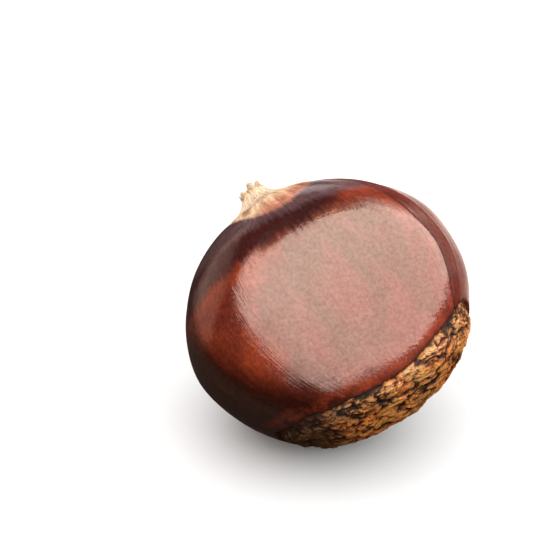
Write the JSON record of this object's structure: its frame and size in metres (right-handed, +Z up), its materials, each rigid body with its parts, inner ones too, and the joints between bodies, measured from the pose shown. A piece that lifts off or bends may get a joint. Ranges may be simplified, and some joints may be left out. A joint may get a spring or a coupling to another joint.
{
  "type": "sweet chestnut, whole in its shell",
  "caption": "Whole sweet chestnut in its smooth shell, one side pressed flat, with a rough base scar and a tufted tip; lies on its domed back.",
  "frame": {"origin": "middle of the bounding box's footprint, on the surface the nut lies on", "axes": "+Z up; the nut lies on its domed back with its flat side up and towards -Y, its base with the scar down towards +X and -Y and its tuft up towards -X and +Y"},
  "size_m": [0.0348, 0.031, 0.0301],
  "materials": {
    "shell": "glossy polished red-brown to near black, fine lines from tip to base",
    "scar": "rough matte golden tan crust with dark creases",
    "tuft": "matte cream down and dry fibres"
  },
  "bodies": {
    "root": {"chestnut": "shell"}
  },
  "joints": []
}
